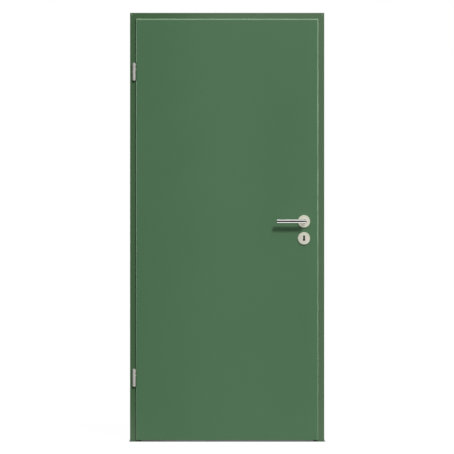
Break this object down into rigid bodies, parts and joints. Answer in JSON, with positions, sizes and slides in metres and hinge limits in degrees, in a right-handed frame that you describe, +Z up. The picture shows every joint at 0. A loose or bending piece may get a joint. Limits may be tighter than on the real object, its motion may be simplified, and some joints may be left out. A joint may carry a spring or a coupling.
{
  "type": "interior door with frame",
  "caption": "Rebated flush interior door leaf on lift-off hinges in a folded steel frame with seal, lever handles, round roses and a mortise lock with latch and dead bolt.",
  "frame": {"origin": "middle of the opening at finished floor level, in the wall's front plane on the side the leaf opens towards", "axes": "+X across the opening from the hinge side to the lock side, +Y through the wall away from the opening side, +Z up"},
  "size_m": [0.916, 0.2485, 2.0205],
  "materials": {
    "frame_paint": "satin green paint on folded steel sheet",
    "leaf_lacquer": "satin green lacquer on fibreboard and softwood",
    "raw_wood": "raw softwood",
    "chipboard": "raw extruded chipboard",
    "satin_steel": "satin, warm white",
    "polished_steel": "finely polished",
    "zinc_steel": "zinc plated",
    "seal_rubber": "soft, dark",
    "nylon": "moulded",
    "black_plastic": "moulded"
  },
  "bodies": {
    "frame": {"hinge_jamb": "frame_paint", "lock_jamb": "frame_paint", "frame_head": "frame_paint", "lock_corner_bracket": "zinc_steel", "hinge_corner_bracket": "zinc_steel", "lock_side_seal": "seal_rubber", "hinge_side_seal": "seal_rubber", "head_seal": "seal_rubber", "wall_sleeves": "zinc_steel", "strike_box": "black_plastic", "upper_hinge_frame_part": "satin_steel", "lower_hinge_frame_part": "satin_steel", "upper_hinge_pin": "zinc_steel", "lower_hinge_pin": "zinc_steel", "upper_hinge_pocket": "zinc_steel", "lower_hinge_pocket": "zinc_steel", "hinge_clamp_screws": "zinc_steel"},
    "leaf": {"front_skin": "leaf_lacquer", "back_skin": "leaf_lacquer", "hinge_stile": "leaf_lacquer", "lock_stile": "leaf_lacquer", "top_rail": "leaf_lacquer", "bottom_rail": "leaf_lacquer", "lock_block": "raw_wood", "tubular_core": "chipboard", "upper_hinge_leaf_part": "satin_steel", "lower_hinge_leaf_part": "satin_steel", "upper_hinge_bush": "nylon", "lower_hinge_bush": "nylon", "lock_case": "zinc_steel", "lock_cover": "zinc_steel", "lock_cover_screws": "zinc_steel", "lock_faceplate": "satin_steel", "faceplate_screws": "zinc_steel", "latch_spring": "zinc_steel", "bolt_detent_spring": "zinc_steel", "front_handle_rose": "satin_steel", "back_handle_rose": "satin_steel", "front_handle_rose_base": "nylon", "back_handle_rose_base": "nylon", "front_key_rose": "satin_steel", "back_key_rose": "satin_steel", "front_key_rose_base": "nylon", "back_key_rose_base": "nylon", "rose_bolts": "zinc_steel"},
    "handle": {"front_lever": "polished_steel", "back_lever": "polished_steel", "spindle": "zinc_steel", "follower": "zinc_steel", "lever_grub_screws": "zinc_steel"},
    "latch": {"latch_bolt": "zinc_steel"},
    "dead_bolt": {"dead_bolt": "zinc_steel"}
  },
  "joints": [
    {"name": "leaf_swing", "type": "hinge", "parent": "frame", "child": "leaf", "pos_m": [-0.4385, -0.0235, 1], "axis": [0, 0, -1], "range_deg": [0, 170]},
    {"name": "handle_turn", "type": "hinge", "parent": "leaf", "child": "handle", "pos_m": [0.362, -0.00375, 1.037], "axis": [0, -1, 0], "range_deg": [0, 40], "stiffness_Nm_per_rad": 2, "springref_deg": -22.92},
    {"name": "latch_slide", "type": "slide", "parent": "leaf", "child": "latch", "axis": [-1, 0, 0], "range_m": [0, 0.012], "deforming": ["latch_spring"]},
    {"name": "bolt_throw", "type": "slide", "parent": "leaf", "child": "dead_bolt", "axis": [1, 0, 0], "range_m": [0, 0.014], "deforming": ["bolt_detent_spring"]}
  ],
  "couplings": [
    {"joint": "latch_slide", "follows": "handle_turn", "m_per_rad": 0.0171}
  ]
}
